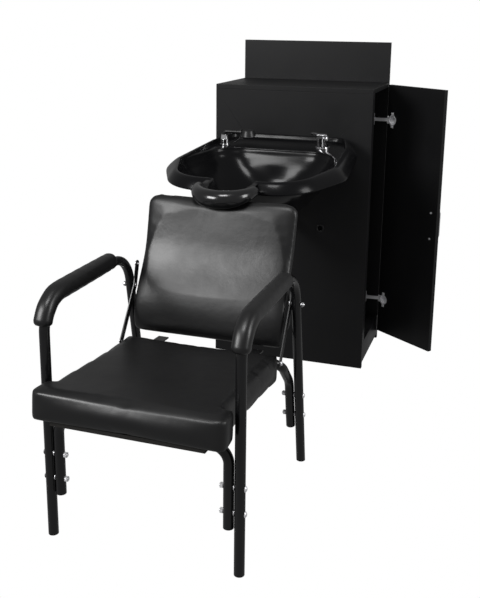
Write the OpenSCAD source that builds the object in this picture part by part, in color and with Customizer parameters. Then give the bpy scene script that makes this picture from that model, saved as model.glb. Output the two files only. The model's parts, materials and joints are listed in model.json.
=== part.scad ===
// Salon backwash unit: a reclining shampoo chair in front of a storage cabinet that carries a
// moulded hair-washing bowl, a mixer, a hand spray and a side door.
// Frame: X across, Y towards the cabinet's back, Z up, millimetres.
// Origin: on the floor, at the middle of the cabinet front panel's bottom edge.

/* [Cabinet] */
// outside width of the cabinet
cab_w = 565; // [450:5:700]
// outside depth of the cabinet
cab_d = 340; // [280:5:420]
// height of the top board's upper face
cab_h = 1010; // [850:5:1100]
// thickness of every board
board_t = 16; // [12:1:25]
// height of the splash board above the top
splash_h = 146; // [80:2:250]
// height of the open plinth under the bottom shelf
plinth_h = 81; // [40:1:150]
// width of the fixed stile beside the front panel
stile_w = 22; // [16:1:60]

/* [Door] */
// how far the door stands open as stored, in degrees from closed
door_open = 54; // [0:1:90]
// height of the door's bottom edge
door_z0 = 36; // [5:1:80]
// height of the door's top edge
door_z1 = 1003; // [900:1:1008]
// distance between the two handle screws
handle_pitch = 96; // [64:32:160]

/* [Bowl] */
// half width of the bowl's rim
bowl_hw = 256; // [220:2:300]
// slope of the rim down towards the chair, degrees
bowl_tilt = 4.86; // [0:0.1:15]
// height of the rim at its back edge
bowl_z = 845.5; // [780:0.5:900]
// gap between the rim's back edge and the cabinet
bowl_gap = 22; // [10:1:80]
// depth of the basin below the rim
basin_depth = 185; // [120:5:220]
// wall thickness of the moulding
bowl_t = 5; // [3:0.5:8]

/* [Chair] */
// outside radius of the frame tube
tube_r = 12.7; // [9.5:0.1:16]
// wall thickness of the frame tube
tube_w = 1.5; // [1:0.1:3]
// distance from the centre plane to each side hoop
hoop_x = 243; // [220:1:280]
// front leg position along Y
leg_front_y = -1268; // [-1350:1:-1150]
// height of the arm tube's centre line
arm_z = 600; // [550:5:660]
// half width of the seat between the legs
seat_hw = 222; // [180:1:228]
// thickness of the seat cushion
seat_t = 76; // [50:1:100]
// angle by which the seat rises to the front
seat_tilt = 4.75; // [0:0.25:10]
// half width of the backrest
back_hw = 223; // [180:1:228]

/* [Hidden] */
$fn = 48;
half_w = cab_w / 2;
front_y = -board_t / 2;
inner_y0 = board_t / 2;
back_y1 = front_y + cab_d;
inner_y1 = back_y1 - board_t;
carcass_h = cab_h - board_t;
shelf_z1 = plinth_h + board_t;

// hinge axis of the door and its two hinge heights
hinge_x = half_w + 4;
hinge_y = inner_y1 - 5;
hinge_zs = [170, 873];
door_x0 = half_w + 2;
door_y0 = inner_y0 + 34;
door_y1 = inner_y1 - 3;
cup_y = door_y1 - 26;
cup_r = 17.5;
notch_x1 = hinge_x + 5;
plate_x0 = 221;

// handle on the door's outer face
handle_y = door_y0 + 28;
handle_z = 513;
screw_r = 2;

// bowl frame: origin at the middle of the rim's back edge
bowl_y = front_y - bowl_gap;
rim_band = 34;
rim_flare = 24;
flare_drop = 12;
deck_drop = 15;
drain_l = -330;
drain_r = 24;
mixer_x = 143;
mixer_l = -107;
guide_x = -191;
guide_l = -140;
tongue_l = -650;
tongue_r = 78;
tongue_t = 6;
tongue_h = -18;
roll_major = 86;
roll_r = 25;
roll_l = -656;
roll_h = -19;
waste_z = 545;
waste_r = 16;
waste_hole_r = 17;
grommet_x = 114;
grommet_z = 514;

// chair frame
tube_ri = tube_r - tube_w;
rake = 10.9;
front_bend = 75;
rear_bend = 95;
arm_front_y = leg_front_y + front_bend;
rear_foot_y = -713.8;
rear_tan = tan(rake);
rear_top_y = rear_foot_y - (arm_z) * rear_tan;
foot_z = 3;
pivot_z = 508;
pivot_y = rear_foot_y - pivot_z * rear_tan;
cross_x = 216;
cross_z0 = 118;
front_cross_z = 318;
rear_cross_y = -858;
rear_cross_z = 352;
bolt_zs = [157, 221];
bolt_r = 4;
pad_r = 22;
pad_up = 8;
pad_bore = 13.1;
pad_front_z = 548;
pad_rear_y = -926;

// seat frame: origin at the middle of the cushion's bottom rear edge
seat_y = -886;
seat_z = 310;
seat_len = 484;
seat_wide_len = 74;
seat_wide_hw = 243;
seat_board_t = 10;
// underside of the hooks that lie over the rear cross tube, in the seat frame
hang_h = 57.3;

// backrest bars
bar_t = 3;
bar_x = 226.6;
bar_w = 20;
link_y = -905;
link_z = 374;
back_bolt_y = -795.6;
back_bolt_z = 566;

// front face of the backrest, top to bottom, as [y, z]
back_front = [[-740, 757], [-757, 690], [-775, 625], [-797, 575], [-826, 525], [-850, 480], [-858, 435], [-854, 388]];
back_t = 46;
// the top edge falls towards the rear by this share of the thickness
top_fall = 0.25;
scoop_hw = 112;
scoop_z = 733;
back_board_t = 12;

// ---------- helpers ----------

function unit(v) = v / norm(v);
function turn_angle(a, b, c) = acos(max(-1, min(1, unit(b - a) * unit(c - b))));
function cut_back(a, b, c, r) = r * tan(turn_angle(a, b, c) / 2);
function side_of(u, v) = unit(v - u * (u * v));

// direction in which the path leaves corner i, seen across the piece that leads to it
function way(p, i) = side_of(unit(p[i] - p[i - 1]), unit(p[i + 1] - p[i]));

// the same direction carried round corner i, seen across the piece that leaves it
function carried(p, i) = let(u = unit(p[i] - p[i - 1]), a = turn_angle(p[i - 1], p[i], p[i + 1]))
  way(p, i) * cos(a) - u * sin(a);

// roll about the leaving piece that turns the carried direction onto the next corner's way
function roll(p, i) = let(v = unit(p[i + 1] - p[i]), a = carried(p, i), b = way(p, i + 1))
  atan2(cross(a, b) * v, a * b);

function piece_len(p, r, i) = norm(p[i + 1] - p[i])
  - (i > 0 ? cut_back(p[i - 1], p[i], p[i + 1], r[i]) : 0)
  - (i < len(p) - 2 ? cut_back(p[i], p[i + 1], p[i + 2], r[i + 1]) : 0);

module ring(ro, ri) {
  difference() {
    circle(r = ro);
    if (ri > 0) circle(r = ri);
  }
}

// pieces i, i+1, ... of a bent tube, each drawn in the frame where the last one ends
module tube_run(p, r, i, ro, ri) {
  run = piece_len(p, r, i);
  linear_extrude(run) ring(ro, ri);
  if (i < len(p) - 2) {
    bend = r[i + 1];
    ang = turn_angle(p[i], p[i + 1], p[i + 2]);
    translate([bend, 0, run]) {
      rotate([90, 0, 180]) rotate_extrude(angle = ang) translate([bend, 0]) ring(ro, ri);
      rotate([0, ang, 0]) translate([-bend, 0, 0])
        rotate([0, 0, i < len(p) - 3 ? roll(p, i + 1) : 0]) tube_run(p, r, i + 1, ro, ri);
    }
  }
}

// a tube along corner points p, with bend radius r[i] at each corner
module bent_tube(p, r, ro, ri) {
  w = unit(p[1] - p[0]);
  u = way(p, 1);
  v = cross(w, u);
  multmatrix([
    [u[0], v[0], w[0], p[0][0]],
    [u[1], v[1], w[1], p[0][1]],
    [u[2], v[2], w[2], p[0][2]],
    [0, 0, 0, 1]])
    tube_run(p, r, 0, ro, ri);
}

// the outline of a flat strap between two points, with round ends
module strap(a, b, w) {
  hull() {
    translate(a) circle(d = w);
    translate(b) circle(d = w);
  }
}

// a plane drawing in Y and Z, made thick from x0 to x1
module plate_yz(x0, x1) {
  translate([x0, 0, 0]) rotate([90, 0, 90]) linear_extrude(x1 - x0) children();
}

module rod_x(x0, x1, y, z, r) {
  translate([x0, y, z]) rotate([0, 90, 0]) cylinder(r = r, h = x1 - x0);
}

module rod_y(y0, y1, x, z, r) {
  translate([x, y0, z]) rotate([-90, 0, 0]) cylinder(r = r, h = y1 - y0);
}

// a point of the bowl's own frame, as [y, z]
function bowl_yz(l, h) = [bowl_y + l * cos(bowl_tilt) - h * sin(bowl_tilt),
  bowl_z + l * sin(bowl_tilt) + h * cos(bowl_tilt)];

module both_sides() {
  children();
  mirror([1, 0, 0]) children();
}

module bowl_frame() {
  translate([0, bowl_y, bowl_z]) rotate([bowl_tilt, 0, 0]) children();
}

module door_frame() {
  translate([hinge_x, hinge_y, 0]) rotate([0, 0, door_open])
    translate([-hinge_x, -hinge_y, 0]) children();
}

module seat_frame() {
  translate([0, seat_y, seat_z]) rotate([-seat_tilt, 0, 0]) children();
}

// ---------- cabinet ----------

module front_panel() {
  color([0.05, 0.05, 0.05])
    difference() {
      translate([-half_w, front_y, 0]) cube([cab_w, board_t, carcass_h]);
      rod_y(front_y - 1, inner_y0 + 1, grommet_x, grommet_z, 11);
      rod_y(front_y - 1, inner_y0 + 1, 0, waste_z, waste_hole_r);
      for (x = [-95, 95], z = [735, 785]) rod_y(front_y - 1, inner_y0 + 1, x, z, 4.1);
    }
}

module left_side_panel() {
  color([0.05, 0.05, 0.05])
    translate([-half_w, inner_y0, 0]) cube([board_t, inner_y1 - inner_y0, carcass_h]);
}

module back_panel() {
  color([0.05, 0.05, 0.05])
    difference() {
      translate([-half_w, inner_y1, 0]) cube([cab_w, board_t, carcass_h]);
      // opening for the building's water and waste connections
      translate([-110, inner_y1 - 1, 130]) cube([220, board_t + 2, 180]);
    }
}

module top_board() {
  color([0.07, 0.07, 0.07])
    translate([-half_w, front_y, carcass_h]) cube([cab_w, cab_d, board_t]);
}

module splash_board() {
  color([0.07, 0.07, 0.07])
    translate([-half_w, inner_y1, cab_h]) cube([cab_w, board_t, splash_h]);
}

module bottom_shelf() {
  color([0.05, 0.05, 0.05])
    translate([board_t - half_w, inner_y0, plinth_h])
      cube([cab_w - board_t, inner_y1 - inner_y0, board_t]);
}

module plinth_rail() {
  color([0.05, 0.05, 0.05])
    translate([half_w - board_t, inner_y0, 20])
      cube([board_t, inner_y1 - inner_y0, plinth_h - 20]);
}

module front_stile() {
  color([0.05, 0.05, 0.05])
    translate([half_w - board_t, inner_y0, shelf_z1])
      cube([board_t, stile_w, carcass_h - shelf_z1]);
}

module hinge_plates() {
  color([0.8, 0.8, 0.82])
    for (z = hinge_zs) {
      translate([plate_x0, inner_y1 - 2, z - 8]) cube([17, 2, 16]);
      translate([plate_x0 + 3, inner_y1 - 2, z - 22]) cube([11, 2, 44]);
      for (s = [-1, 1]) rod_y(inner_y1 - 4, inner_y1 - 1, plate_x0 + 8.5, z + s * 17, 3.6);
    }
}

module hinge_arms() {
  color([0.8, 0.8, 0.82])
    for (z = hinge_zs) {
      translate([plate_x0, inner_y1 - 8, z - 6]) cube([hinge_x - plate_x0, 6, 12]);
      translate([hinge_x, hinge_y, z - 6]) cylinder(r = 4.4, h = 12);
      translate([hinge_x, hinge_y, z - 12.5]) cylinder(r = 2.5, h = 25);
    }
}

module hose_grommet() {
  color([0.1, 0.1, 0.1])
    difference() {
      union() {
        rod_y(front_y - 3, front_y, grommet_x, grommet_z, 14);
        rod_y(front_y - 1, inner_y0, grommet_x, grommet_z, 10.9);
      }
      rod_y(front_y - 4, inner_y0 + 1, grommet_x, grommet_z, 9);
    }
}

module bowl_bracket() {
  deck_h = -deck_drop - bowl_t;
  color([0.06, 0.06, 0.06]) {
    difference() {
      translate([-125, front_y - 4, 715]) cube([250, 4, 88]);
      for (x = [-95, 95], z = [735, 785]) rod_y(front_y - 5, front_y + 1, x, z, 4.1);
    }
    for (x = [-60, 60])
      plate_yz(x - 3, x + 3)
        polygon([[front_y - 3, 718], [front_y - 3, 801], [front_y - 30, 801], bowl_yz(-14, deck_h - 3),
          bowl_yz(-138, deck_h - 3), bowl_yz(-138, deck_h - 14), [-70, 742]]);
    bowl_frame()
      for (x = [-60, 60])
        translate([x - 14, -142, deck_h - 4]) cube([28, 130, 4]);
  }
}

module bracket_bolts() {
  color([0.75, 0.75, 0.77])
    for (x = [-95, 95], z = [735, 785]) {
      rod_y(front_y - 9, front_y - 4, x, z, 7.5);
      rod_y(front_y - 5, inner_y0 + 6, x, z, 4);
    }
}

// ---------- bowl ----------

// rim outline seen from above, drawn in by w
module rim_outline(w) {
  hull() {
    for (s = [-1, 1]) {
      translate([s * 170, -40]) circle(r = 40 - w);
      translate([s * 150, -150]) circle(r = 88 - w);
      translate([s * (bowl_hw - 108), -390]) circle(r = 108 - w);
      translate([s * 95, -482]) circle(r = 128 - w);
    }
  }
}

// basin mouth: starts in front of the tap ledge
module basin_mouth(w) {
  hull() {
    for (s = [-1, 1]) {
      translate([s * 112, -258]) circle(r = 104 - w);
      translate([s * (bowl_hw - 108), -390]) circle(r = 97 - w);
      translate([s * 95, -482]) circle(r = 116 - w);
    }
  }
}

module slice(h, t) {
  translate([0, 0, h]) linear_extrude(t) children();
}

module basin_body(w) {
  hull() {
    slice(-2, 2) basin_mouth(w);
    slice(-60, 1) translate([0, -360]) scale(0.9) translate([0, 360]) basin_mouth(w);
    slice(-125, 1) translate([0, drain_l - 25]) circle(r = 168 - w);
    slice(w - basin_depth, 1) translate([0, drain_l]) circle(r = 92 - w);
  }
}

module tongue_outline(w) {
  hull() {
    translate([0, tongue_l]) circle(r = tongue_r - w);
    translate([0, -560]) circle(r = 100 - w);
  }
}

// channel that leads from the neck down into the basin, grown by w
module neck_channel(w, top) {
  hull() {
    slice(-14 - w, 14 + w + top) translate([0, -652]) circle(r = 62 + w);
    slice(-56 - w, 56 + w + top) translate([0, -520]) circle(r = 66 + w);
  }
}

// keeps the flared rim off the cabinet
module ahead_of_cabinet() {
  intersection() {
    children();
    translate([-400, -900, -100]) cube([800, 880, 160]);
  }
}

module bowl() {
  color([0.02, 0.02, 0.02])
    bowl_frame()
      difference() {
        union() {
          slice(-rim_band, rim_band) rim_outline(0);
          ahead_of_cabinet() slice(-rim_band, rim_band - flare_drop) rim_outline(-rim_flare);
          basin_body(0);
          slice(tongue_h, tongue_t) tongue_outline(0);
          neck_channel(4, tongue_h + tongue_t);
        }
        // underside of the rim, outside the basin
        difference() {
          slice(-rim_band - 1, rim_band - deck_drop - bowl_t + 1) rim_outline(bowl_t);
          basin_body(-0.01);
          neck_channel(4.01, 0);
        }
        difference() {
          ahead_of_cabinet() slice(-rim_band - 1, rim_band - deck_drop - bowl_t + 1)
            rim_outline(bowl_t - rim_flare);
          basin_body(-0.01);
          neck_channel(4.01, 0);
        }
        // tap ledge
        difference() {
          slice(-deck_drop, deck_drop + 1) rim_outline(12);
          slice(-deck_drop - 1, deck_drop + 3) translate([-300, -700]) square([600, 400]);
        }
        basin_body(bowl_t);
        slice(-3, 4) basin_mouth(bowl_t);
        neck_channel(0, 4);
        translate([0, drain_l, -basin_depth - 5]) cylinder(r = drain_r + 0.2, h = 30);
        translate([mixer_x, mixer_l, -60]) cylinder(r = 14.2, h = 60);
        translate([guide_x, guide_l, -60]) cylinder(r = 12.2, h = 60);
      }
}

module neck_rest() {
  color([0.03, 0.03, 0.03])
    bowl_frame()
      translate([0, roll_l, roll_h])
        rotate([0, 0, 185]) rotate_extrude(angle = 170)
          difference() {
            translate([roll_major, 0]) circle(r = roll_r);
            // groove that grips the edge of the bowl's tongue
            translate([0, tongue_h - roll_h - 0.3]) square([tongue_r + 6, tongue_t + 0.6]);
            // flat inner face below it, clear of the channel's sides
            translate([0, -roll_r - 1]) square([67, roll_r + 5]);
          }
}

module drain_flange() {
  color([0.82, 0.82, 0.84])
    bowl_frame()
      translate([0, drain_l, -basin_depth + bowl_t])
        difference() {
          union() {
            cylinder(r = 34, h = 2.5);
            translate([0, 0, -42]) cylinder(r = drain_r, h = 43);
          }
          translate([0, 0, -43]) cylinder(r = drain_r - 3, h = 50);
        }
}

module strainer() {
  color([0.85, 0.85, 0.87])
    bowl_frame()
      translate([0, drain_l, -basin_depth + bowl_t - 3])
        difference() {
          cylinder(r = drain_r - 3.1, h = 2);
          for (a = [0:60:300]) rotate([0, 0, a]) translate([13, 0, -1]) cylinder(r = 3, h = 4);
          translate([0, 0, -1]) cylinder(r = 3, h = 4);
        }
}

module drain_nut() {
  color([0.06, 0.06, 0.06])
    bowl_frame()
      translate([0, drain_l, -basin_depth - 13])
        difference() {
          cylinder(r = 36, h = 13);
          translate([0, 0, -1]) cylinder(r = drain_r + 0.1, h = 16);
        }
}

module bottle_trap() {
  color([0.06, 0.06, 0.06])
    difference() {
      union() {
        bowl_frame() translate([0, drain_l, -basin_depth - 96]) cylinder(r = 30, h = 59);
        rod_y(-330, -262, 0, waste_z, waste_r + 4);
      }
      bowl_frame() translate([0, drain_l, -basin_depth - 90]) cylinder(r = 26, h = 46);
      bowl_frame() translate([0, drain_l, -basin_depth - 60]) cylinder(r = drain_r - 3, h = 30);
      rod_y(-330, -261, 0, waste_z, waste_r + 0.1);
    }
}

module waste_pipe() {
  color([0.06, 0.06, 0.06])
    difference() {
      rod_y(-300, 66, 0, waste_z, waste_r);
      rod_y(-301, 67, 0, waste_z, waste_r - 2);
    }
}

module waste_escutcheon() {
  color([0.8, 0.8, 0.82])
    difference() {
      rod_y(front_y - 3, front_y, 0, waste_z, 30);
      rod_y(front_y - 4, front_y + 1, 0, waste_z, waste_r + 0.3);
    }
}

// ---------- mixer and hand spray ----------

module mixer_frame() {
  bowl_frame() translate([mixer_x, mixer_l, -deck_drop]) children();
}

module guide_frame() {
  bowl_frame() translate([guide_x, guide_l, -deck_drop]) children();
}

module mixer_base() {
  color([0.85, 0.85, 0.87])
    mixer_frame() {
      cylinder(r = 24, h = 4);
      cylinder(r = 19.5, h = 24);
      translate([0, 0, -36]) cylinder(r = 14, h = 37);
    }
}

module mixer_nut() {
  color([0.7, 0.62, 0.35])
    mixer_frame()
      translate([0, 0, -bowl_t - 10])
        difference() {
          cylinder(r = 21, h = 10, $fn = 6);
          translate([0, 0, -1]) cylinder(r = 14.1, h = 12);
        }
}

module supply_tails() {
  color([0.8, 0.8, 0.82])
    mixer_frame()
      for (s = [-1, 1])
        translate([s * 7, 0, -86])
          difference() {
            cylinder(r = 5, h = 50);
            translate([0, 0, -1]) cylinder(r = 3.5, h = 40);
          }
}

module spray_guide() {
  color([0.85, 0.85, 0.87])
    guide_frame()
      difference() {
        union() {
          cylinder(r = 16.5, h = 5);
          cylinder(r = 13.5, h = 21);
          translate([0, 0, 21]) cylinder(r1 = 13, r2 = 10.5, h = 16);
          translate([0, 0, -30]) cylinder(r = 12, h = 31);
        }
        translate([0, 0, -31]) cylinder(r = 8.5, h = 80);
      }
}

module guide_nut() {
  color([0.06, 0.06, 0.06])
    guide_frame()
      translate([0, 0, -bowl_t - 8])
        difference() {
          cylinder(r = 19, h = 8);
          translate([0, 0, -1]) cylinder(r = 12.1, h = 10);
        }
}

module mixer_cap() {
  color([0.85, 0.85, 0.87])
    mixer_frame() {
      translate([0, 0, 24.5]) cylinder(r = 20.5, h = 12);
      translate([7, 0, 36]) cylinder(r = 10, h = 6);
    }
}

module mixer_lever() {
  color([0.85, 0.85, 0.87])
    mixer_frame() {
      translate([-20, -6, 43]) cube([34, 12, 5]);
      translate([-39, -7, 44]) cube([20, 14, 6]);
    }
}

// the spray stands in its guide and its head lies over to the right
trigger_x = 62;
trigger_h = 31;
module spray_handle() {
  color([0.04, 0.04, 0.04])
    guide_frame() {
      translate([0, 0, 8]) cylinder(r = 8, h = 30);
      translate([0, 0, 37.5]) cylinder(r = 10.5, h = 3);
      bent_tube([[0, 0, 36], [0, 0, 47], [62, 0, 47]], [0, 9, 0], 6, 0);
      for (k = [0:4]) rod_x(16 + 8 * k, 20 + 8 * k, 0, 47, 7.2);
      rod_x(54, 62, 0, 47, 9);
      translate([84, 0, 36]) cylinder(r1 = 26, r2 = 20, h = 18);
      for (s = [-1, 1])
        translate([0, s * 7.5 - 1.5, 0]) {
          translate([trigger_x - 4, 0, trigger_h]) cube([8, 3, 12]);
          rod_y(0, 3, trigger_x, trigger_h, 4);
        }
      rod_y(-8, 8, trigger_x, trigger_h, 1.5);
    }
}

module spray_face() {
  color([0.6, 0.6, 0.62])
    guide_frame()
      translate([84, 0, 32.8])
        difference() {
          cylinder(r = 17.5, h = 3.2);
          for (a = [0:45:315]) rotate([0, 0, a]) translate([14, 0, -1]) cylinder(r = 1, h = 3);
          for (a = [0:90:270]) rotate([0, 0, a]) translate([6, 0, -1]) cylinder(r = 1, h = 3);
        }
}

module spray_trigger() {
  color([0.8, 0.8, 0.82])
    guide_frame()
      translate([trigger_x, 0, trigger_h])
        difference() {
          union() {
            rod_y(-5.6, 5.6, 0, 0, 3.4);
            rotate([0, -38, 0]) translate([-34, -5, -1.5]) cube([33, 10, 3]);
          }
          rod_y(-7, 7, 0, 0, 1.85);
        }
}

// ---------- door ----------

module door_panel() {
  color([0.04, 0.04, 0.04])
    door_frame()
      difference() {
        translate([door_x0, door_y0, door_z0]) cube([board_t, door_y1 - door_y0, door_z1 - door_z0]);
        for (z = hinge_zs) {
          translate([door_x0 - 1, door_y1 - 12, z - 14]) cube([notch_x1 - door_x0 + 1, 13, 28]);
          rod_x(door_x0 - 1, door_x0 + 12, cup_y, z, cup_r);
        }
        for (s = [-1, 1]) rod_x(door_x0 - 1, door_x0 + board_t + 1, handle_y, handle_z + s * handle_pitch / 2, 2.3);
      }
}

module hinge_cups() {
  color([0.8, 0.8, 0.82])
    door_frame()
      for (z = hinge_zs) {
        difference() {
          union() {
            rod_x(door_x0, door_x0 + 11.5, cup_y, z, cup_r - 0.1);
            rod_x(door_x0 - 1.5, door_x0, cup_y, z, cup_r + 1.5);
            translate([door_x0 - 1.5, cup_y - 6, z - 29]) cube([1.5, 12, 58]);
          }
          rod_x(door_x0 - 2, door_x0 + 10, cup_y, z, cup_r - 1.5);
        }
        // ears that carry the cup round to the hinge pin
        for (s = [-1, 1])
          difference() {
            union() {
              translate([hinge_x, hinge_y, z + s * 9.6 - 2.4]) cylinder(r = 4.4, h = 4.8);
              translate([door_x0 - 3, cup_y + 10, z + s * 9.6 - 2.4]) cube([2.8, 12, 4.8]);
              translate([door_x0 - 3, hinge_y - 6, z + s * 9.6 - 2.4]) cube([6, 6, 4.8]);
            }
            translate([hinge_x, hinge_y, z - 20]) cylinder(r = 2.6, h = 40);
          }
        for (s = [-1, 1]) rod_x(door_x0 - 3, door_x0 - 1.5, cup_y, z + s * 24, 3.4);
      }
}

module door_handle() {
  color([0.7, 0.7, 0.72])
    door_frame() {
      x = door_x0 + board_t;
      z0 = handle_z - handle_pitch / 2;
      z1 = handle_z + handle_pitch / 2;
      bent_tube([[x, handle_y, z0], [x + 28, handle_y, z0], [x + 28, handle_y, z1], [x, handle_y, z1]],
        [0, 10, 10, 0], 5, 0);
    }
}

module handle_screws() {
  color([0.8, 0.8, 0.82])
    door_frame()
      for (s = [-1, 1]) {
        z = handle_z + s * handle_pitch / 2;
        rod_x(door_x0 - 1.5, door_x0, handle_y, z, 4);
        rod_x(door_x0 - 1, door_x0 + board_t, handle_y, z, screw_r);
      }
}

// ---------- chair frame ----------

module side_frame() {
  low_y = rear_foot_y + 10 * rear_tan;
  difference() {
    bent_tube([[hoop_x, leg_front_y, foot_z], [hoop_x, leg_front_y, arm_z],
      [hoop_x, rear_top_y, arm_z], [hoop_x, low_y, -10]],
      [0, front_bend, rear_bend, 0], tube_r, tube_ri);
    // the raked leg is cut level above its tip
    translate([hoop_x - 30, rear_foot_y - 40, foot_z - 30]) cube([60, 80, 30]);
    for (z = bolt_zs) {
      rod_x(hoop_x - 20, hoop_x + 20, leg_front_y, z, bolt_r + 0.1);
      rod_x(hoop_x - 20, hoop_x + 20, rear_foot_y - z * rear_tan, z, bolt_r + 0.1);
    }
    rod_x(hoop_x - 20, hoop_x + 20, pivot_y, pivot_z, bolt_r + 0.1);
  }
}

module left_side_frame() {
  color([0.03, 0.03, 0.03]) mirror([1, 0, 0]) side_frame();
}

module right_side_frame() {
  color([0.03, 0.03, 0.03]) side_frame();
}

module front_cross_tube() {
  color([0.03, 0.03, 0.03])
    difference() {
      bent_tube([[-cross_x, leg_front_y, cross_z0], [-cross_x, leg_front_y, front_cross_z],
        [cross_x, leg_front_y, front_cross_z], [cross_x, leg_front_y, cross_z0]],
        [0, 42, 42, 0], tube_r, tube_ri);
      both_sides() for (z = bolt_zs) rod_x(cross_x - 20, cross_x + 20, leg_front_y, z, bolt_r + 0.1);
    }
}

module rear_cross_tube() {
  knee_z = 262;
  knee_y = rear_foot_y - knee_z * rear_tan;
  foot_y = rear_foot_y - cross_z0 * rear_tan;
  color([0.03, 0.03, 0.03])
    difference() {
      bent_tube([[-cross_x, foot_y, cross_z0], [-cross_x, knee_y, knee_z],
        [-cross_x, rear_cross_y, rear_cross_z], [cross_x, rear_cross_y, rear_cross_z],
        [cross_x, knee_y, knee_z], [cross_x, foot_y, cross_z0]],
        [0, 60, 40, 40, 60, 0], tube_r, tube_ri);
      both_sides() for (z = bolt_zs)
        rod_x(cross_x - 20, cross_x + 20, rear_foot_y - z * rear_tan, z, bolt_r + 0.1);
    }
}

module tip(a) {
  translate([hoop_x, a, 0]) cylinder(r = tube_r, h = foot_z);
  translate([hoop_x, a, 0]) cylinder(r = tube_ri - 2.5, h = 16);
}

module leg_tips() {
  color([0.05, 0.05, 0.05])
    both_sides() {
      tip(leg_front_y);
      tip(rear_foot_y);
    }
}

module cross_tube_plugs() {
  rear_y = rear_foot_y - cross_z0 * rear_tan;
  color([0.05, 0.05, 0.05])
    both_sides() {
      translate([cross_x, leg_front_y, cross_z0 - 2]) cylinder(r = tube_r, h = 2);
      translate([cross_x, leg_front_y, cross_z0 - 2]) cylinder(r = tube_ri - 0.1, h = 14);
      translate([cross_x, rear_y, cross_z0]) rotate([rake, 0, 0]) {
        translate([0, 0, -2.2]) cylinder(r = tube_r, h = 2);
        translate([0, 0, -2.2]) cylinder(r = tube_ri - 0.1, h = 14);
      }
    }
}

module at_frame_bolts() {
  both_sides() for (z = bolt_zs, y = [leg_front_y, rear_foot_y - z * rear_tan]) translate([0, y, z]) children();
}

module frame_bolts() {
  color([0.75, 0.75, 0.77])
    at_frame_bolts() {
      rod_x(cross_x - tube_r - 9, hoop_x + tube_r, 0, 0, bolt_r);
      intersection() {
        translate([hoop_x + tube_r - 4, 0, 0]) sphere(r = 8.5);
        rod_x(hoop_x + tube_r, hoop_x + tube_r + 6, 0, 0, 9);
      }
    }
}

module frame_nuts() {
  color([0.75, 0.75, 0.77])
    at_frame_bolts()
      difference() {
        translate([cross_x - tube_r - 7, 0, 0]) rotate([0, 90, 0]) cylinder(r = 7.4, h = 7, $fn = 6);
        rod_x(cross_x - tube_r - 8, cross_x, 0, 0, bolt_r + 0.05);
      }
}

module tube_spacers() {
  color([0.75, 0.75, 0.77])
    at_frame_bolts()
      difference() {
        rod_x(cross_x + tube_r, hoop_x - tube_r, 0, 0, 7);
        rod_x(cross_x, hoop_x, 0, 0, bolt_r + 0.1);
      }
}

module arm_pad() {
  difference() {
    bent_tube([[hoop_x, leg_front_y - pad_up, 480], [hoop_x, leg_front_y - pad_up, arm_z + pad_up],
      [hoop_x, pad_rear_y, arm_z + pad_up]], [0, front_bend + pad_up, 0], pad_r, 0);
    bent_tube([[hoop_x, leg_front_y, 440], [hoop_x, leg_front_y, arm_z],
      [hoop_x, pad_rear_y + 2, arm_z]], [0, front_bend, 0], pad_bore, 0);
    translate([hoop_x - 40, leg_front_y - 60, pad_front_z - 100]) cube([80, 120, 100]);
  }
}

module left_arm_pad() {
  color([0.05, 0.05, 0.05]) mirror([1, 0, 0]) arm_pad();
}

module right_arm_pad() {
  color([0.05, 0.05, 0.05]) arm_pad();
}

module pivot_bolts() {
  color([0.75, 0.75, 0.77])
    both_sides() {
      rod_x(bar_x - 0.4, hoop_x + tube_r + 1.5, pivot_y, pivot_z, bolt_r);
      rod_x(bar_x - 2.4, bar_x - 0.4, pivot_y, pivot_z, 6);
    }
}

module pivot_nuts() {
  color([0.78, 0.78, 0.8])
    both_sides() {
      rod_x(hoop_x + tube_r + 1.5, hoop_x + tube_r + 6, pivot_y, pivot_z, 7);
      translate([hoop_x + tube_r + 6, pivot_y, pivot_z]) sphere(r = 4.4);
    }
}

// ---------- seat ----------

module seat_plan() {
  translate([-seat_hw, -seat_len]) square([2 * seat_hw, seat_len]);
  for (s = [-1, 1])
    translate([s * (seat_wide_hw - 25), 25 - seat_len]) circle(r = 25);
  translate([25 - seat_wide_hw, -seat_len]) square([2 * seat_wide_hw - 50, 50]);
  translate([-seat_wide_hw, 25 - seat_len]) square([2 * seat_wide_hw, seat_wide_len - 25]);
}

module seat_cushion() {
  color([0.04, 0.04, 0.04])
    seat_frame() linear_extrude(seat_t) seat_plan();
}

module seat_board() {
  color([0.35, 0.25, 0.15])
    seat_frame() translate([-190, 20 - seat_len, -seat_board_t]) cube([380, seat_len - 60, seat_board_t]);
}

module seat_glides() {
  color([0.08, 0.08, 0.08])
    seat_frame()
      for (x = [-150, 150])
        translate([x - 18, leg_front_y - seat_y - 28, -seat_board_t - 0.9]) cube([36, 56, 0.9]);
}

module seat_hangers() {
  color([0.05, 0.05, 0.05])
    seat_frame()
      for (x = [-140, 140])
        plate_yz(x - 15, x + 15)
          polygon([[-120, -seat_board_t - 4], [5, -seat_board_t - 4], [5, hang_h], [66, hang_h], [66, hang_h + 4],
            [1, hang_h + 4], [1, -seat_board_t], [-120, -seat_board_t]]);
}

// ---------- backrest ----------

// the backrest's side view, its front and rear moved back by a and b
module back_profile(a, b, drop) {
  n = len(back_front);
  polygon(concat([for (p = back_front) [p[0] + a, p[1] - (p[1] > 750 ? a * drop : 0)]],
    [for (i = [n - 1:-1:0]) [back_front[i][0] + b, back_front[i][1] - (i == 0 ? b * drop : 0)]]));
}

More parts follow.
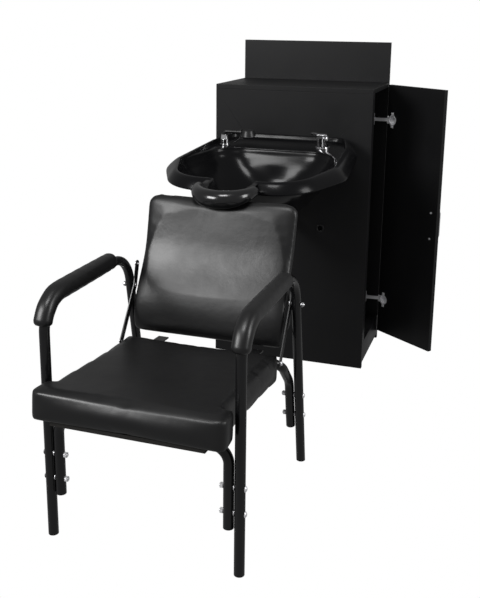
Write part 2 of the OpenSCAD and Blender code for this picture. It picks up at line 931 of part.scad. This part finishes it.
module back_cushion() {
  top = 757;
  r = 32;
  color([0.04, 0.04, 0.04])
    intersection() {
      plate_yz(-back_hw, back_hw) back_profile(0, back_t - back_board_t, top_fall);
      translate([0, -600, 0]) rotate([90, 0, 0]) linear_extrude(400)
        difference() {
          union() {
            translate([-back_hw, 380]) square([2 * back_hw, top - 380 - r]);
            translate([r - back_hw, 380]) square([2 * (back_hw - r), top - 380]);
            for (s = [-1, 1]) translate([s * (back_hw - r), top - r]) circle(r = r);
          }
          // hollow in the top edge, under the neck rest
          translate([-scoop_hw, scoop_z]) square([2 * scoop_hw, 60]);
        }
    }
}

module back_board() {
  color([0.04, 0.04, 0.04])
    difference() {
      plate_yz(-back_hw + 14, back_hw - 14) back_profile(back_t - back_board_t, back_t, top_fall);
      translate([-300, -900, 725]) cube([600, 300, 60]);
    }
}

module back_bar() {
  difference() {
    plate_yz(bar_x, bar_x + bar_t) {
      strap([back_bolt_y, back_bolt_z], [pivot_y, pivot_z], bar_w);
      strap([pivot_y, pivot_z], [link_y, link_z], bar_w);
    }
    rod_x(bar_x - 1, bar_x + 4, pivot_y, pivot_z, bolt_r + 0.1);
    rod_x(bar_x - 1, bar_x + 4, link_y, link_z, 3.1);
    rod_x(bar_x - 1, bar_x + 4, back_bolt_y, back_bolt_z, 3.1);
  }
}

module left_back_bar() {
  color([0.05, 0.05, 0.05]) mirror([1, 0, 0]) back_bar();
}

module right_back_bar() {
  color([0.05, 0.05, 0.05]) back_bar();
}

module back_bar_bolts() {
  color([0.75, 0.75, 0.77])
    both_sides() {
      rod_x(back_hw, bar_x + bar_t, back_bolt_y, back_bolt_z, 3);
      rod_x(bar_x + bar_t, bar_x + bar_t + 3.5, back_bolt_y, back_bolt_z, 6);
    }
}

module link_bolts() {
  color([0.75, 0.75, 0.77])
    both_sides() {
      rod_x(bar_x - 0.6, bar_x + bar_t, link_y, link_z, 3);
      rod_x(bar_x + bar_t, bar_x + bar_t + 4, link_y, link_z, 5.5);
    }
}

module back_stays() {
  color([0.05, 0.05, 0.05])
    both_sides()
      plate_yz(203, 207) {
        strap([-767, 534], [-742, 500], 12);
        strap([-742, 500], [-740, 425], 12);
        strap([-740, 425], [-799, 402], 12);
      }
}

front_panel();
left_side_panel();
back_panel();
top_board();
splash_board();
bottom_shelf();
plinth_rail();
front_stile();
hinge_plates();
hinge_arms();
hose_grommet();
bowl_bracket();
bracket_bolts();
bowl();
neck_rest();
drain_flange();
strainer();
drain_nut();
bottle_trap();
waste_pipe();
waste_escutcheon();
mixer_base();
mixer_nut();
supply_tails();
spray_guide();
guide_nut();
mixer_cap();
mixer_lever();
spray_handle();
spray_face();
spray_trigger();
door_panel();
hinge_cups();
door_handle();
handle_screws();
left_side_frame();
right_side_frame();
front_cross_tube();
rear_cross_tube();
leg_tips();
cross_tube_plugs();
frame_bolts();
frame_nuts();
tube_spacers();
left_arm_pad();
right_arm_pad();
pivot_bolts();
pivot_nuts();
seat_cushion();
seat_board();
seat_glides();
seat_hangers();
back_cushion();
back_board();
left_back_bar();
right_back_bar();
back_bar_bolts();
link_bolts();
back_stays();
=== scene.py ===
import math
import json
import bpy
import bmesh
import numpy as np
from mathutils import Matrix, Vector


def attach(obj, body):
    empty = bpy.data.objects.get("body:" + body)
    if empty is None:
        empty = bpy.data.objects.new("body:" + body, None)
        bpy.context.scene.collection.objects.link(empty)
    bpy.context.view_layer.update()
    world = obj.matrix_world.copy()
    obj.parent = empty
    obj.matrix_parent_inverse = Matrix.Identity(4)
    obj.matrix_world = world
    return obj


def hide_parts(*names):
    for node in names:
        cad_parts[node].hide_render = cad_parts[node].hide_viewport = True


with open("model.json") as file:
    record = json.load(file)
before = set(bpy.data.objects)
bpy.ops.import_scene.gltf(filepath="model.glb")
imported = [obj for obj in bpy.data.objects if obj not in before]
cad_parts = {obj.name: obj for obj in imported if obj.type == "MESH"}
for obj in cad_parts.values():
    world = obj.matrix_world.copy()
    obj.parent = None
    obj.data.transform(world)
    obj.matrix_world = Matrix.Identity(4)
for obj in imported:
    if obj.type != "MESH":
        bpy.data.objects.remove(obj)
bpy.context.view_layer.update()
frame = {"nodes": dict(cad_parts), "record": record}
nodes = frame["nodes"]
MM = 0.001

# ---------------------------------------------------------------- camera
scene = bpy.context.scene
cam = bpy.data.cameras.new("camera")
cam.lens = 51.52
cam.sensor_width = 36.0
cam.shift_y = -0.132
cam.clip_end = 50.0
cam_ob = bpy.data.objects.new("camera", cam)
right = Vector((0.94687, 0.32146, 0.00950)).normalized()
ahead = Vector((-0.31026, 0.92085, -0.23616)).normalized()
right = (right - ahead * right.dot(ahead)).normalized()
upward = right.cross(ahead).normalized()
cam_ob.matrix_world = Matrix((
    (right.x, upward.x, -ahead.x, 0.7879),
    (right.y, upward.y, -ahead.y, -2.9042),
    (right.z, upward.z, -ahead.z, 1.2597),
    (0, 0, 0, 1)))
scene.collection.objects.link(cam_ob)
scene.camera = cam_ob

# ---------------------------------------------------------------- materials
def ramp(tree, src, a, b, lo=0.3, hi=0.7):
    """Maps src from lo..hi to a..b."""
    r = tree.nodes.new("ShaderNodeMapRange")
    r.inputs["From Min"].default_value = lo
    r.inputs["From Max"].default_value = hi
    r.inputs["To Min"].default_value = a
    r.inputs["To Max"].default_value = b
    tree.links.new(src, r.inputs["Value"])
    return r.outputs["Result"]


def noise(tree, scale, detail=3.0, stretch=None):
    """Noise in the object's own coordinates."""
    co = tree.nodes.new("ShaderNodeTexCoord")
    n = tree.nodes.new("ShaderNodeTexNoise")
    n.inputs["Scale"].default_value = scale
    n.inputs["Detail"].default_value = detail
    if stretch:
        m = tree.nodes.new("ShaderNodeMapping")
        m.inputs["Scale"].default_value = stretch
        tree.links.new(co.outputs["Object"], m.inputs["Vector"])
        tree.links.new(m.outputs["Vector"], n.inputs["Vector"])
    else:
        tree.links.new(co.outputs["Object"], n.inputs["Vector"])
    return n.outputs["Fac"]


def material(name, color, rough, metal=0.0, coat=0.0, coat_rough=0.05, spec=0.5, rough_var=0.08,
             var_scale=9.0, bumps=(), color_var=0.0, stretch=None, sheen=0.0):
    m = bpy.data.materials.new(name)
    m.use_nodes = True
    t = m.node_tree
    b = t.nodes["Principled BSDF"]
    b.inputs["Base Color"].default_value = (*color, 1)
    b.inputs["Metallic"].default_value = metal
    b.inputs["Coat Weight"].default_value = coat
    b.inputs["Coat Roughness"].default_value = coat_rough
    b.inputs["Specular IOR Level"].default_value = spec
    b.inputs["Sheen Weight"].default_value = sheen
    n = noise(t, var_scale, 4.0, stretch)
    t.links.new(ramp(t, n, max(0.0, rough - rough_var), rough + rough_var), b.inputs["Roughness"])
    if color_var:
        mix = t.nodes.new("ShaderNodeMix")
        mix.data_type = "RGBA"
        mix.inputs["A"].default_value = (*[c * (1 - color_var) for c in color], 1)
        mix.inputs["B"].default_value = (*[min(1, c * (1 + color_var)) for c in color], 1)
        t.links.new(noise(t, var_scale * 2.3, 5.0, stretch), mix.inputs["Factor"])
        t.links.new(mix.outputs["Result"], b.inputs["Base Color"])
    last = None
    for kind, scale, strength, dist in bumps:
        if kind == "noise":
            h = noise(t, scale, 5.0)
        else:
            co = t.nodes.new("ShaderNodeTexCoord")
            v = t.nodes.new("ShaderNodeTexVoronoi")
            v.inputs["Scale"].default_value = scale
            t.links.new(co.outputs["Object"], v.inputs["Vector"])
            h = v.outputs["Distance"]
        bump = t.nodes.new("ShaderNodeBump")
        bump.inputs["Strength"].default_value = strength
        bump.inputs["Distance"].default_value = dist
        t.links.new(h, bump.inputs["Height"])
        if last:
            t.links.new(last, bump.inputs["Normal"])
        last = bump.outputs["Normal"]
    if last:
        t.links.new(last, b.inputs["Normal"])
    return m


MATS = {
    "black_melamine": material("black_melamine", (0.0075, 0.0075, 0.008), 0.42, spec=0.2, rough_var=0.06,
                               var_scale=5,
                               bumps=[("noise", 900, 0.10, 0.0004)], color_var=0.12),
    "hinge_steel": material("hinge_steel", (0.90, 0.90, 0.92), 0.36, 0.30,
                            bumps=[("noise", 300, 0.05, 0.0003)]),
    "zinc_fasteners": material("zinc_fasteners", (0.85, 0.85, 0.87), 0.32, 0.5,
                               bumps=[("noise", 500, 0.08, 0.0003)]),
    "chrome_parts": material("chrome_parts", (0.92, 0.92, 0.94), 0.08, 1.0, rough_var=0.03),
    "gloss_bowl_plastic": material("gloss_bowl_plastic", (0.004, 0.004, 0.0045), 0.2, spec=0.15, coat=0.03,
                                   coat_rough=0.05,
                                   rough_var=0.04, var_scale=6, bumps=[("noise", 60, 0.04, 0.0008)]),
    "neck_gel": material("neck_gel", (0.006, 0.006, 0.0065), 0.22, spec=0.45, coat=0.3, coat_rough=0.1,
                         rough_var=0.05,
                         bumps=[("noise", 90, 0.06, 0.0008)]),
    "black_plastic": material("black_plastic", (0.008, 0.008, 0.0085), 0.36, spec=0.4,
                              bumps=[("noise", 700, 0.12, 0.0004)]),
    "brass_nut": material("brass_nut", (0.66, 0.50, 0.24), 0.3, 1.0, bumps=[("noise", 300, 0.06, 0.0004)]),
    "spray_plate": material("spray_plate", (0.30, 0.30, 0.32), 0.45),
    "satin_handle": material("satin_handle", (0.56, 0.56, 0.58), 0.3, 1.0, stretch=(1, 1, 30), var_scale=40),
    "black_tube": material("black_tube", (0.004, 0.004, 0.0045), 0.24, spec=0.4, coat=0.2, coat_rough=0.08,
                           rough_var=0.05,
                           bumps=[("noise", 260, 0.05, 0.0004)]),
    "black_steel": material("black_steel", (0.006, 0.006, 0.0065), 0.35, spec=0.4,
                            bumps=[("noise", 400, 0.08, 0.0004)]),
    "black_vinyl": material("black_vinyl", (0.0045, 0.0045, 0.0048), 0.40, spec=0.44, coat=0.05,
                            coat_rough=0.2, rough_var=0.06,
                            var_scale=7, bumps=[("voronoi", 520, 0.10, 0.0006), ("noise", 28, 0.16, 0.004)]),
    "plywood": material("plywood", (0.012, 0.011, 0.010), 0.6, spec=0.3, color_var=0.25,
                        stretch=(1, 12, 12), var_scale=6,
                        bumps=[("noise", 120, 0.1, 0.0006)]),
}

slot_of = {s["node"]: s["material_slot"] for s in frame["record"]["subparts"]}


def dress(ob, slot):
    """Gives ob the material of its slot."""
    ob.data.materials.clear()
    ob.data.materials.append(MATS[slot])


BEVEL = {"front_panel": 0.8, "left_side_panel": 0.8, "back_panel": 0.8, "top_board": 1.0, "splash_board": 1.0,
         "bottom_shelf": 0.6, "plinth_rail": 0.6, "front_stile": 0.6, "door_panel": 0.9, "mixer_base": 1.2,
         "mixer_cap": 2.4, "mixer_lever": 2.0, "spray_guide": 1.2, "spray_handle": 1.6, "spray_face": 0.5,
         "spray_trigger": 0.7, "hose_grommet": 0.9, "waste_escutcheon": 0.9, "drain_flange": 0.6,
         "strainer": 0.4, "drain_nut": 1.0, "bottle_trap": 1.5, "leg_tips": 1.0, "frame_bolts": 0.7,
         "pivot_nuts": 0.6, "hinge_cups": 0.35, "hinge_plates": 0.4, "bowl_bracket": 0.5}

for name, ob in nodes.items():
    dress(ob, slot_of[name])
    me = ob.data
    if "custom_normal" in me.attributes:
        me.attributes.remove(me.attributes["custom_normal"])
    me.polygons.foreach_set("use_smooth", [True] * len(me.polygons))
    weld = ob.modifiers.new("weld", "WELD")
    weld.merge_threshold = 1e-5
    bev = ob.modifiers.new("edges", "BEVEL")
    bev.width = BEVEL.get(name, 0.35) * MM
    bev.segments = 2
    bev.limit_method = "ANGLE"
    bev.angle_limit = math.radians(38)
    bev.harden_normals = True
    bev.use_clamp_overlap = True


# ---------------------------------------------------------------- mesh helpers
def make(name, verts, faces, slot, body, replaces=(), smooth=True):
    """Visible piece from verts and faces, riding body."""
    me = bpy.data.meshes.new(name)
    me.from_pydata([tuple(v) for v in verts], [], faces)
    bm = bmesh.new()
    bm.from_mesh(me)
    bmesh.ops.recalc_face_normals(bm, faces=bm.faces)
    bm.to_mesh(me)
    bm.free()
    me.polygons.foreach_set("use_smooth", [smooth] * len(me.polygons))
    ob = bpy.data.objects.new(name, me)
    scene.collection.objects.link(ob)
    me.materials.append(MATS[slot])
    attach(ob, body)
    if replaces:
        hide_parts(*replaces)
    return ob


def loft(rings, cap_first=False, cap_last=False, loop=True):
    """Quads between successive rings of equal length."""
    n = len(rings[0])
    verts = [v for r in rings for v in r]
    faces = []
    for i in range(len(rings) - 1):
        for k in range(n if loop else n - 1):
            a, b = i * n + k, i * n + (k + 1) % n
            faces.append((a, b, b + n, a + n))
    if cap_first:
        faces.append(tuple(range(n)))
    if cap_last:
        faces.append(tuple((len(rings) - 1) * n + k for k in range(n)))
    return verts, faces


def hull2d(points):
    """Convex hull of points, anticlockwise."""
    pts = sorted(set((round(x, 4), round(y, 4)) for x, y in points))
    def half(seq):
        out = []
        for p in seq:
            while len(out) > 1 and ((out[-1][0] - out[-2][0]) * (p[1] - out[-2][1])
                                    - (out[-1][1] - out[-2][1]) * (p[0] - out[-2][0])) <= 0:
                out.pop()
            out.append(p)
        return out[:-1]
    return half(pts) + half(pts[::-1])


def reach(circles, centre, angles):
    """Distance from centre to the hull of circles (x, l, r), at each angle."""
    pts = []
    for x, y, r in circles:
        for s in (-1, 1):
            for k in range(96):
                a = 2 * math.pi * k / 96
                pts.append((s * x + r * math.cos(a), y + r * math.sin(a)))
    h = hull2d(pts)
    out = []
    for a in angles:
        dx, dy = math.cos(a), math.sin(a)
        best = 0.0
        for i in range(len(h)):
            (x0, y0), (x1, y1) = h[i], h[(i + 1) % len(h)]
            ex, ey = x1 - x0, y1 - y0
            det = dx * -ey + ex * dy
            if abs(det) < 1e-12:
                continue
            px, py = x0 - centre[0], y0 - centre[1]
            d = (px * -ey + ex * py) / det
            u = (dx * py - dy * px) / det
            if -1e-9 <= u <= 1 + 1e-9 and d > best:
                best = d
        out.append(best)
    return np.array(out)


# ---------------------------------------------------------------- bowl
TILT = math.radians(4.86)
BOWL_Y, BOWL_Z = -30, 845.5


def bowl_pt(x, l, h):
    """Point of the tilted bowl: x across, l along it from the cabinet, h above its rim."""
    return Vector((x * MM,
                   (BOWL_Y + l * math.cos(TILT) - h * math.sin(TILT)) * MM,
                   (BOWL_Z + l * math.sin(TILT) + h * math.cos(TILT)) * MM))


# circles (x, l, radius), mirrored in x, whose hulls are the rim and the mouth of the basin
RIM = [(170, -40, 40), (150, -150, 88), (148, -390, 108), (95, -482, 128)]
MOUTH = [(112, -258, 104), (148, -390, 97), (95, -482, 116)]


def step(t):
    """Smooth step from 0 to 1."""
    t = np.clip(t, 0, 1)
    return t * t * (3 - 2 * t)


def dish(x, l):
    """Floor of the neck dish: falls towards the basin and rises at its sides."""
    base = -15.0 - 0.34 * np.clip(l + 716, 0, 400)
    across = np.where(l < -656, np.hypot(x, l + 656), np.abs(x))
    side = step((across - 34) / 44)
    return base + (16 - base) * side


def build_bowl():
    """Bowl as one lofted shell, its profile turned about a line through the basin."""
    n = 192
    c = (0.0, -330.0)
    ang = np.array([2 * math.pi * (k + 0.5) / n for k in range(n)])
    ro = reach(RIM, c, ang)
    rm = reach(MOUTH, c, ang)
    for _ in range(3):
        rm = (np.roll(rm, 1) + 2 * rm + np.roll(rm, -1)) / 4
    gap = ro - 13 - rm
    deck = step((gap - 4) / 22)

    # outer surface from the skirt's inner lower edge up over the rim, then down into the basin
    lpos = c[1] + ro * np.sin(ang)
    flare = 34.0 * step((-lpos - 2) / 95) * (1 - 0.38 * step((-lpos - 400) / 170))
    prof = []
    prof.append((ro + flare - 5.5, np.full(n, -33.0)))
    prof.append((ro + flare - 2.0, np.full(n, -34.4)))
    prof.append((ro + flare, np.full(n, -33.2)))
    prof.append((ro + flare * 0.96, np.full(n, -29.5)))
    prof.append((ro + flare * 0.74, np.full(n, -20.5)))
    prof.append((ro + flare * 0.40, np.full(n, -10.5)))
    prof.append((ro + flare * 0.16, np.full(n, -4.4)))
    prof.append((ro - 1.6, np.full(n, -1.3)))
    prof.append((ro - 5.0, np.full(n, -0.1)))
    prof.append((ro - 8.5, np.full(n, -0.2)))
    prof.append((ro - 11.0, np.full(n, -1.6)))
    e = ro - 12.4
    prof.append((np.where(deck > 0, e, np.minimum(e, rm + 1)), -4.5 - 0 * e))
    e2 = ro - 13.4
    prof.append((np.minimum(e2, np.maximum(rm, e2)), -7.0 - 5.0 * deck))
    prof.append((e2 - 2.0 * deck, -8.0 - 6.4 * deck))
    prof.append((e2 - 5.0 * deck, -9.0 - 6.0 * deck))
    prof.append((rm + (e2 - 5 - rm) * 0.5 * (deck > 0) - 1.0, -10.0 - 5.2 * deck))
    prof.append((rm + 2.5 * deck - 1.6, -11.0 - 4.6 * deck))
    prof.append((rm - 1.5 * deck - 2.2, -12.5 - 4.8 * deck))
    prof.append((rm - 3.6, -15.5 - 5.0 * deck))
    prof.append((rm - 4.6, -21.0 - 4.0 * deck))
    # basin wall: radius by depth
    ca, sa = np.cos(ang), np.sin(ang)
    r60 = rm * 0.90 - 4
    r125 = reach([(0.0, -355, 163)], c, ang)
    r165 = reach([(0.0, -345, 120)], c, ang)
    keys = [(-21.0, rm - 4.6), (-60.0, r60), (-125.0, r125), (-160.0, r165 + 2), (-176.0, np.full(n, 84.0))]
    hs = [-30, -40, -50, -60, -72, -84, -96, -108, -120, -132, -142, -151, -159, -166, -171.5, -175.5]
    for h in hs:
        for i in range(len(keys) - 1):
            h0, a0 = keys[i]
            h1, a1 = keys[i + 1]
            if h1 <= h <= h0:
                t = (h0 - h) / (h0 - h1)
                # cubic through the neighbours
                m0 = (a1 - (keys[i - 1][1] if i else a0)) / (2 if i else 1)
                m1 = ((keys[i + 2][1] if i + 2 < len(keys) else a1) - a0) / (2 if i + 2 < len(keys) else 1)
                r = ((2 * t ** 3 - 3 * t ** 2 + 1) * a0 + (t ** 3 - 2 * t ** 2 + t) * m0
                     + (-2 * t ** 3 + 3 * t ** 2) * a1 + (t ** 3 - t ** 2) * m1)
                prof.append((r, np.full(n, float(h))))
                break
    for r, h in ((76, -178), (66, -179.4), (50, -180), (36, -180.2), (24.4, -180.3)):
        prof.append((np.full(n, float(r)), np.full(n, float(h))))
    # underside, from the drain outward
    for r, h in ((24.4, -184.6), (40, -184.8), (60, -184.8), (78, -183.5)):
        prof.append((np.full(n, float(r)), np.full(n, float(h))))
    base = prof[20:20 + len(hs)]
    for (r, h) in base[::-1]:
        prof.append((r + 5.0, h - 2.5 * step((-h - 110) / 60)))
    prof.append((rm + 0.5, np.full(n, -24.0)))
    prof.append((np.minimum(rm + 5 + deck * 8, ro - 6), np.full(n, -20.5)))
    prof.append((ro - 6.0, np.full(n, -20.5)))
    prof.append((ro - 4.5, np.full(n, -26.0)))

    rings = []
    for i, (r, h) in enumerate(prof):
        x = c[0] + r * ca
        l = c[1] + r * sa
        hh = np.array(h, float).copy()
        # the neck dish cuts the rim at the front
        if i < 44 or i >= len(prof) - 18:
            under = 5.0 if (i < 5 or i >= len(prof) - 18) else 1.2 if i < 20 else 0.3
            hh = np.where(l < -500, np.minimum(hh, dish(x, l) - under), hh)
        rings.append([bowl_pt(a, b, d) for a, b, d in zip(x, l, hh)])
    verts, faces = loft(rings)
    # close the underside onto the skirt's inner lower edge
    m = len(rings) - 1
    for k in range(n):
        a, b = m * n + k, m * n + (k + 1) % n
        faces.append((a, b, (k + 1) % n, k))

    # neck dish: a slab across the front, thick at its gripped edge
    top, low = [], []
    for l in np.linspace(-733.5, -594, 40):
        w = math.sqrt(max(4.0, 78.0 ** 2 - (l + 656) ** 2)) if l < -656 else 78.0
        xs = w * np.sin(np.linspace(-math.pi / 2, math.pi / 2, 41))
        h = np.minimum(dish(xs, np.full(41, l)), -12.5 + 9 * step((l + 700) / 60))
        top.append([bowl_pt(a, l, d) for a, d in zip(xs, h)])
        low.append([bowl_pt(a * 0.985, l, d - 4.5) for a, d in zip(xs, h)])
    tr = [t + u[::-1] for t, u in zip(top, low)]
    tv, tf = loft(tr, cap_first=True, cap_last=True)
    off = len(verts)
    verts += tv
    faces += [tuple(off + i for i in f) for f in tf]
    make("bowl_shell", verts, faces, "gloss_bowl_plastic", "cabinet", ["bowl"])


build_bowl()


ROLL_MAJOR, ROLL_R, ROLL_L, ROLL_H = 85, 25.0, -656, -19


def build_roll():
    """Padded roll bent round the front of the neck dish, thinner at its ends."""
    rings = []
    count = 90
    a0, a1 = math.radians(177), math.radians(363)
    cap = math.radians(12)
    for i in range(count + 1):
        a = a0 + (a1 - a0) * i / count
        edge = min(a - a0, a1 - a)
        f = 1.0 if edge > cap else math.sqrt(max(0.0, 1 - (1 - edge / cap) ** 2))
        f = max(f, 0.02)
        side = abs(math.cos(a)) ** 3
        r = (ROLL_R - 9.0 * side) * f
        ring = []
        for k in range(36):
            b = 2 * math.pi * k / 36
            rad = ROLL_MAJOR - 4.0 * side + r * math.cos(b)
            h = ROLL_H + 7.0 * side + r * math.sin(b)
            ring.append(bowl_pt(rad * math.cos(a), ROLL_L + rad * math.sin(a), h))
        rings.append(ring)
    v, f = loft(rings, cap_first=True, cap_last=True)
    ob = make("neck_roll", v, f, "neck_gel", "cabinet", ["neck_rest"])


build_roll()


# ---------------------------------------------------------------- soft goods
def freeze(ob):
    """Applies the modifiers on ob."""
    dg = bpy.context.evaluated_depsgraph_get()
    new = bpy.data.meshes.new_from_object(ob.evaluated_get(dg))
    ob.modifiers.clear()
    ob.data = new


BACK_LOW, BACK_TOP, BACK_HALF = 386, 756, 219.0


def back_start():
    """Starting shape of the backrest pad: an S-curved slab with round corners."""
    zs = [381, 388, 435, 480, 525, 575, 625, 690, 757]
    ys = [-853, -854, -858, -850, -826, -797, -775, -757, -741]
    rings = []
    for z in np.linspace(BACK_LOW, BACK_TOP, 60):
        near = np.linspace(-42, 42, 29)
        y0 = float(np.average(np.interp(z + near, zs, ys), weights=np.exp(-(near / 24.0) ** 2))) + 2.0
        w = BACK_HALF
        for edge, r in ((BACK_TOP - z, 30.0), (z - BACK_LOW, 16.0)):
            if edge < r:
                w = min(w, BACK_HALF - r + math.sqrt(max(0.0, r * r - (r - edge) ** 2)))
        thin = min(1.0, 0.35 + 0.65 * math.sqrt(max(0.0, min(1.0, min(BACK_TOP - z, z - BACK_LOW) / 18.0))))
        half = 17.0 * thin
        ring = []
        for k in range(120):
            a = 2 * math.pi * k / 120
            ca, sa = math.cos(a), math.sin(a)
            x = w * math.copysign(abs(ca) ** 0.22, ca)
            y = y0 + 18 + half * math.copysign(abs(sa) ** 0.55, sa)
            dip = 17.0 * math.exp(-(x / 92.0) ** 4) * max(0.0, (z - 640) / 116) ** 2
            ring.append(Vector((x * MM, y * MM, (z - dip) * MM)))
        rings.append(ring)
    v, f = loft(rings, cap_first=True, cap_last=True)
    me = bpy.data.meshes.new("back_start")
    me.from_pydata([tuple(q) for q in v], [], f)
    return me


def puff(node, name, body, voxel=6.0, shrink=(1, 1, 1), pressure=4.0, cap=26.0, bevel=14.0, frames=20, start=None):
    """Cushion in place of node, filled out from its block by a short cloth simulation."""
    src = nodes[node]
    ob = bpy.data.objects.new(name, start if start else src.data.copy())
    scene.collection.objects.link(ob)
    co = np.array([v.co for v in ob.data.vertices])
    mid = (co.min(0) + co.max(0)) / 2
    co = (co - mid) * np.array(shrink) + mid
    ob.data.vertices.foreach_set("co", co.ravel())
    w = ob.modifiers.new("w", "WELD")
    w.merge_threshold = 1e-5
    bv = ob.modifiers.new("b", "BEVEL")
    bv.width = max(0.01, bevel) * MM
    bv.segments = 4
    bv.limit_method = "ANGLE"
    bv.angle_limit = math.radians(35)
    rm = ob.modifiers.new("r", "REMESH")
    rm.mode = "VOXEL"
    rm.voxel_size = voxel * MM
    freeze(ob)
    sm = ob.modifiers.new("s", "SMOOTH")
    sm.iterations = 4
    freeze(ob)
    before = np.array([v.co for v in ob.data.vertices])
    cl = ob.modifiers.new("cloth", "CLOTH")
    s = cl.settings
    s.quality = 5
    s.mass = 0.4
    s.tension_stiffness = 22
    s.compression_stiffness = 22
    s.shear_stiffness = 12
    s.bending_stiffness = 3.0
    s.use_pressure = True
    s.uniform_pressure_force = pressure
    s.effector_weights.gravity = 0.0
    cl.collision_settings.use_collision = False
    cl.point_cache.frame_start = 1
    cl.point_cache.frame_end = frames
    for f in range(1, frames + 1):
        scene.frame_set(f)
    freeze(ob)
    after = np.array([v.co for v in ob.data.vertices])
    after += (before.mean(0) - after.mean(0))
    d = after - before
    ln = np.linalg.norm(d, axis=1, keepdims=True)
    lim = cap * MM
    k = np.where(ln > lim, lim / np.maximum(ln, 1e-9), 1.0)
    ob.data.vertices.foreach_set("co", (before + d * k).ravel())
    scene.frame_set(1)
    sub = ob.modifiers.new("sub", "SUBSURF")
    sub.levels = 1
    sub.render_levels = 1
    freeze(ob)
    ob.data.materials.clear()
    ob.data.materials.append(MATS["black_vinyl"])
    ob.data.polygons.foreach_set("use_smooth", [True] * len(ob.data.polygons))
    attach(ob, body)
    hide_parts(node)


puff("seat_cushion", "seat_pad", "seat", voxel=6.5, shrink=(0.985, 0.985, 0.93), pressure=1.4, cap=6, bevel=12)
puff("back_cushion", "back_pad", "backrest", voxel=6.0, pressure=0.7, cap=4, bevel=0.0, start=back_start())


def build_arm_pad(side, node, name):
    """Pad swept along the arm: down the front bend and back along the top."""
    r = 83.0
    y_leg, z_arm = -1276.0, 608.0
    path = []
    z0, y_end = 546.0, -924.0
    zc, yc = z_arm - r, y_leg + r
    start = math.asin((z0 - zc) / r)
    steps = 26
    for i in range(steps + 1):
        a = start + (math.pi / 2 - start) * i / steps
        path.append((yc - r * math.cos(a), zc + r * math.sin(a), a))
    seg = int((y_end - yc) / 8)
    for i in range(1, seg + 1):
        path.append((yc + (y_end - yc) * i / seg, z_arm, math.pi / 2))
    rings = []
    dist = [0.0]
    for i in range(1, len(path)):
        dist.append(dist[-1] + math.hypot(path[i][0] - path[i - 1][0], path[i][1] - path[i - 1][1]))
    whole = dist[-1]
    extra = [0.0, 1.2, 3.2, 6.5, 11.0]
    samples = extra + [d for d in dist if 12 < d < whole - 12] + [whole - e for e in extra[::-1]]
    for d in samples:
        i = max(0, min(len(path) - 2, int(np.searchsorted(dist, d)) - 1))
        t = (d - dist[i]) / max(1e-9, dist[i + 1] - dist[i])
        y = path[i][0] + (path[i + 1][0] - path[i][0]) * t
        z = path[i][1] + (path[i + 1][1] - path[i][1]) * t
        a = path[i][2] + (path[i + 1][2] - path[i][2]) * t
        ny, nz = -math.cos(a), math.sin(a)
        edge = min(d, whole - d)
        f = 1.0 if edge > 12 else 0.55 + 0.45 * math.sqrt(max(0, 1 - (1 - edge / 12) ** 2))
        swell = 1.0 + 0.035 * math.sin(math.pi * d / whole) - 0.02 * math.sin(9 * math.pi * d / whole) ** 2
        ring = []
        for k in range(40):
            b = 2 * math.pi * k / 40
            cx, cn = math.cos(b), math.sin(b)
            e = 0.86
            px = math.copysign(abs(cx) ** e, cx) * 22.0 * f * swell
            pn = math.copysign(abs(cn) ** e, cn)
            pn = pn * (23.5 if pn > 0 else 20.5) * f * swell
            # sewn edge low on each side
            if abs(pn + 13) < 3.2 and f > 0.95:
                px *= 0.955
            ring.append(Vector(((side * 243 + px) * MM, (y + ny * pn) * MM, (z + nz * pn) * MM)))
        rings.append(ring)
    v, f = loft(rings, cap_first=True, cap_last=True)
    ob = make(name, v, f, "black_vinyl", "chair_frame", [node])


build_arm_pad(-1, "left_arm_pad", "left_arm_padding")
build_arm_pad(1, "right_arm_pad", "right_arm_padding")

# ---------------------------------------------------------------- light
world = bpy.data.worlds.new("studio")
scene.world = world
world.use_nodes = True
wt = world.node_tree
sky = wt.nodes["Background"]
sky.inputs["Color"].default_value = (1, 1, 1, 1)
sky.inputs["Strength"].default_value = 0.26
seen = wt.nodes.new("ShaderNodeBackground")
seen.inputs["Color"].default_value = (1, 1, 1, 1)
seen.inputs["Strength"].default_value = 1.0
path = wt.nodes.new("ShaderNodeLightPath")
pick = wt.nodes.new("ShaderNodeMixShader")
wt.links.new(path.outputs["Is Camera Ray"], pick.inputs["Fac"])
wt.links.new(sky.outputs["Background"], pick.inputs[1])
wt.links.new(seen.outputs["Background"], pick.inputs[2])
wt.links.new(pick.outputs["Shader"], wt.nodes["World Output"].inputs["Surface"])


def softbox(name, place, aim, size, power):
    """Rectangular area light at place, turned towards aim."""
    l = bpy.data.lights.new(name, "AREA")
    l.shape = "RECTANGLE"
    l.size, l.size_y = size
    l.energy = power
    o = bpy.data.objects.new(name, l)
    scene.collection.objects.link(o)
    o.location = place
    o.rotation_euler = (Vector(aim) - Vector(place)).to_track_quat("-Z", "Y").to_euler()


softbox("key", (-1.6, -3.4, 2.2), (0, -0.8, 0.5), (1.4, 1.2), 90)
softbox("top", (0.1, -2.2, 3.6), (0, -0.9, 0.5), (1.0, 0.9), 42)
softbox("side", (3.2, -0.8, 1.9), (0, -0.4, 0.7), (1.0, 1.8), 50)
scene.view_settings.view_transform = "Standard"

bpy.context.view_layer.update()
